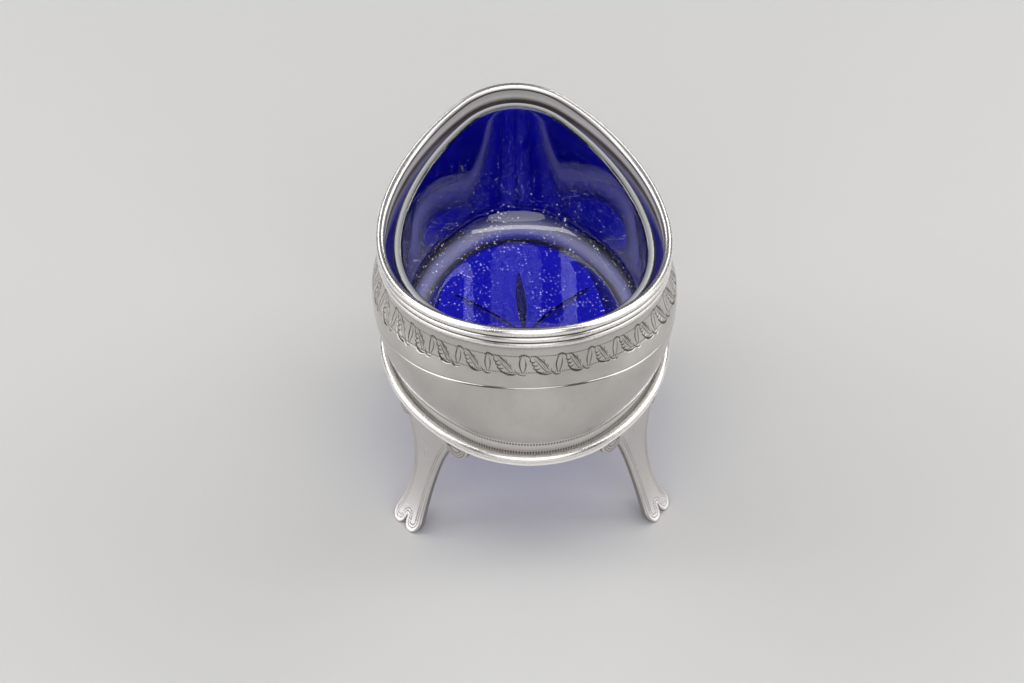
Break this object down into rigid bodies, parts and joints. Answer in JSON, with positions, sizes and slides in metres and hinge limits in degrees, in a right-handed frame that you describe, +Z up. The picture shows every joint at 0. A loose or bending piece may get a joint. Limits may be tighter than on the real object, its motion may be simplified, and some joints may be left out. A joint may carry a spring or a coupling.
{
  "type": "salt cellar",
  "caption": "Open boat-shaped silver table salt with a reeded rising rim, sawn splayed feet and a lift-out cobalt glass liner with a star-cut base.",
  "frame": {"origin": "on the table under the middle of the bowl, at the feet", "axes": "+Z up, +Y along the boat from the end nearest in the picture to the far end, +X to the right as seen in the picture"},
  "size_m": [0.062, 0.0836, 0.0613],
  "materials": {
    "silver": "polished silver with light wear",
    "cobalt_glass": "polished glass"
  },
  "bodies": {
    "frame": {"bowl_wall": "silver", "rim_moulding": "silver", "base_plate": "silver", "base_moulding": "silver", "leg_front_left": "silver", "leg_front_right": "silver", "leg_rear_left": "silver", "leg_rear_right": "silver"},
    "liner": {"liner": "cobalt_glass"}
  },
  "joints": [
    {"name": "liner_lift", "type": "slide", "parent": "frame", "child": "liner", "axis": [0, 0, 1], "range_m": [0, 0.045]}
  ]
}
